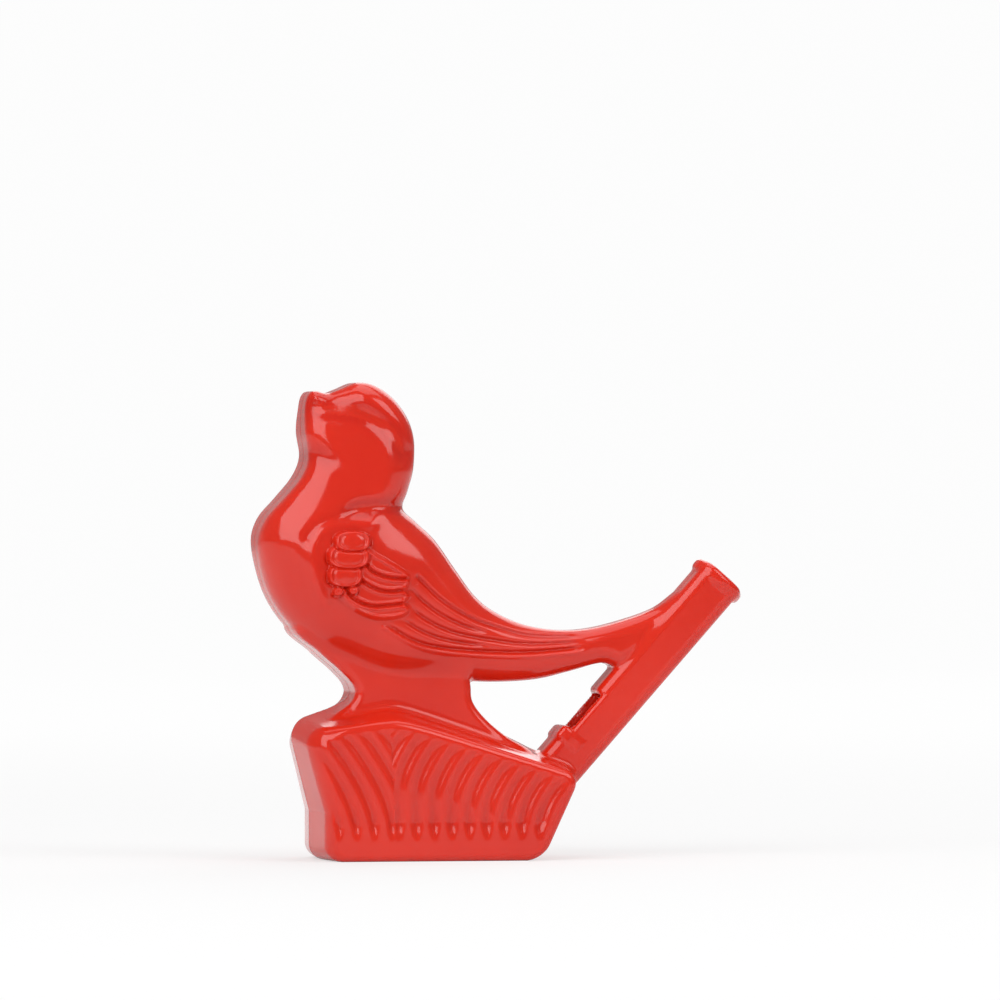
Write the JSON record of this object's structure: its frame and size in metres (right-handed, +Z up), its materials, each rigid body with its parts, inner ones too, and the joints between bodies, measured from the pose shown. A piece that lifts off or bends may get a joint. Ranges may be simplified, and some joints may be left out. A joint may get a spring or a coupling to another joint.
{
  "type": "bird whistle",
  "caption": "Plastic water whistle shaped as a bird on a carved tree stump, with a beaded mouthpiece tube that slants up past the tail.",
  "frame": {"origin": "middle of the whole whistle's footprint, at the height of the stump's flat underside", "axes": "+X from the bird's breast towards the mouthpiece, +Y away from the side seen in the picture (the bird's right), +Z up; the two shells meet on the plane Y = 0"},
  "size_m": [0.0808, 0.026, 0.0777],
  "materials": {
    "red_plastic": "glossy, slightly translucent"
  },
  "bodies": {
    "root": {"left_shell": "red_plastic", "right_shell": "red_plastic"}
  },
  "joints": []
}
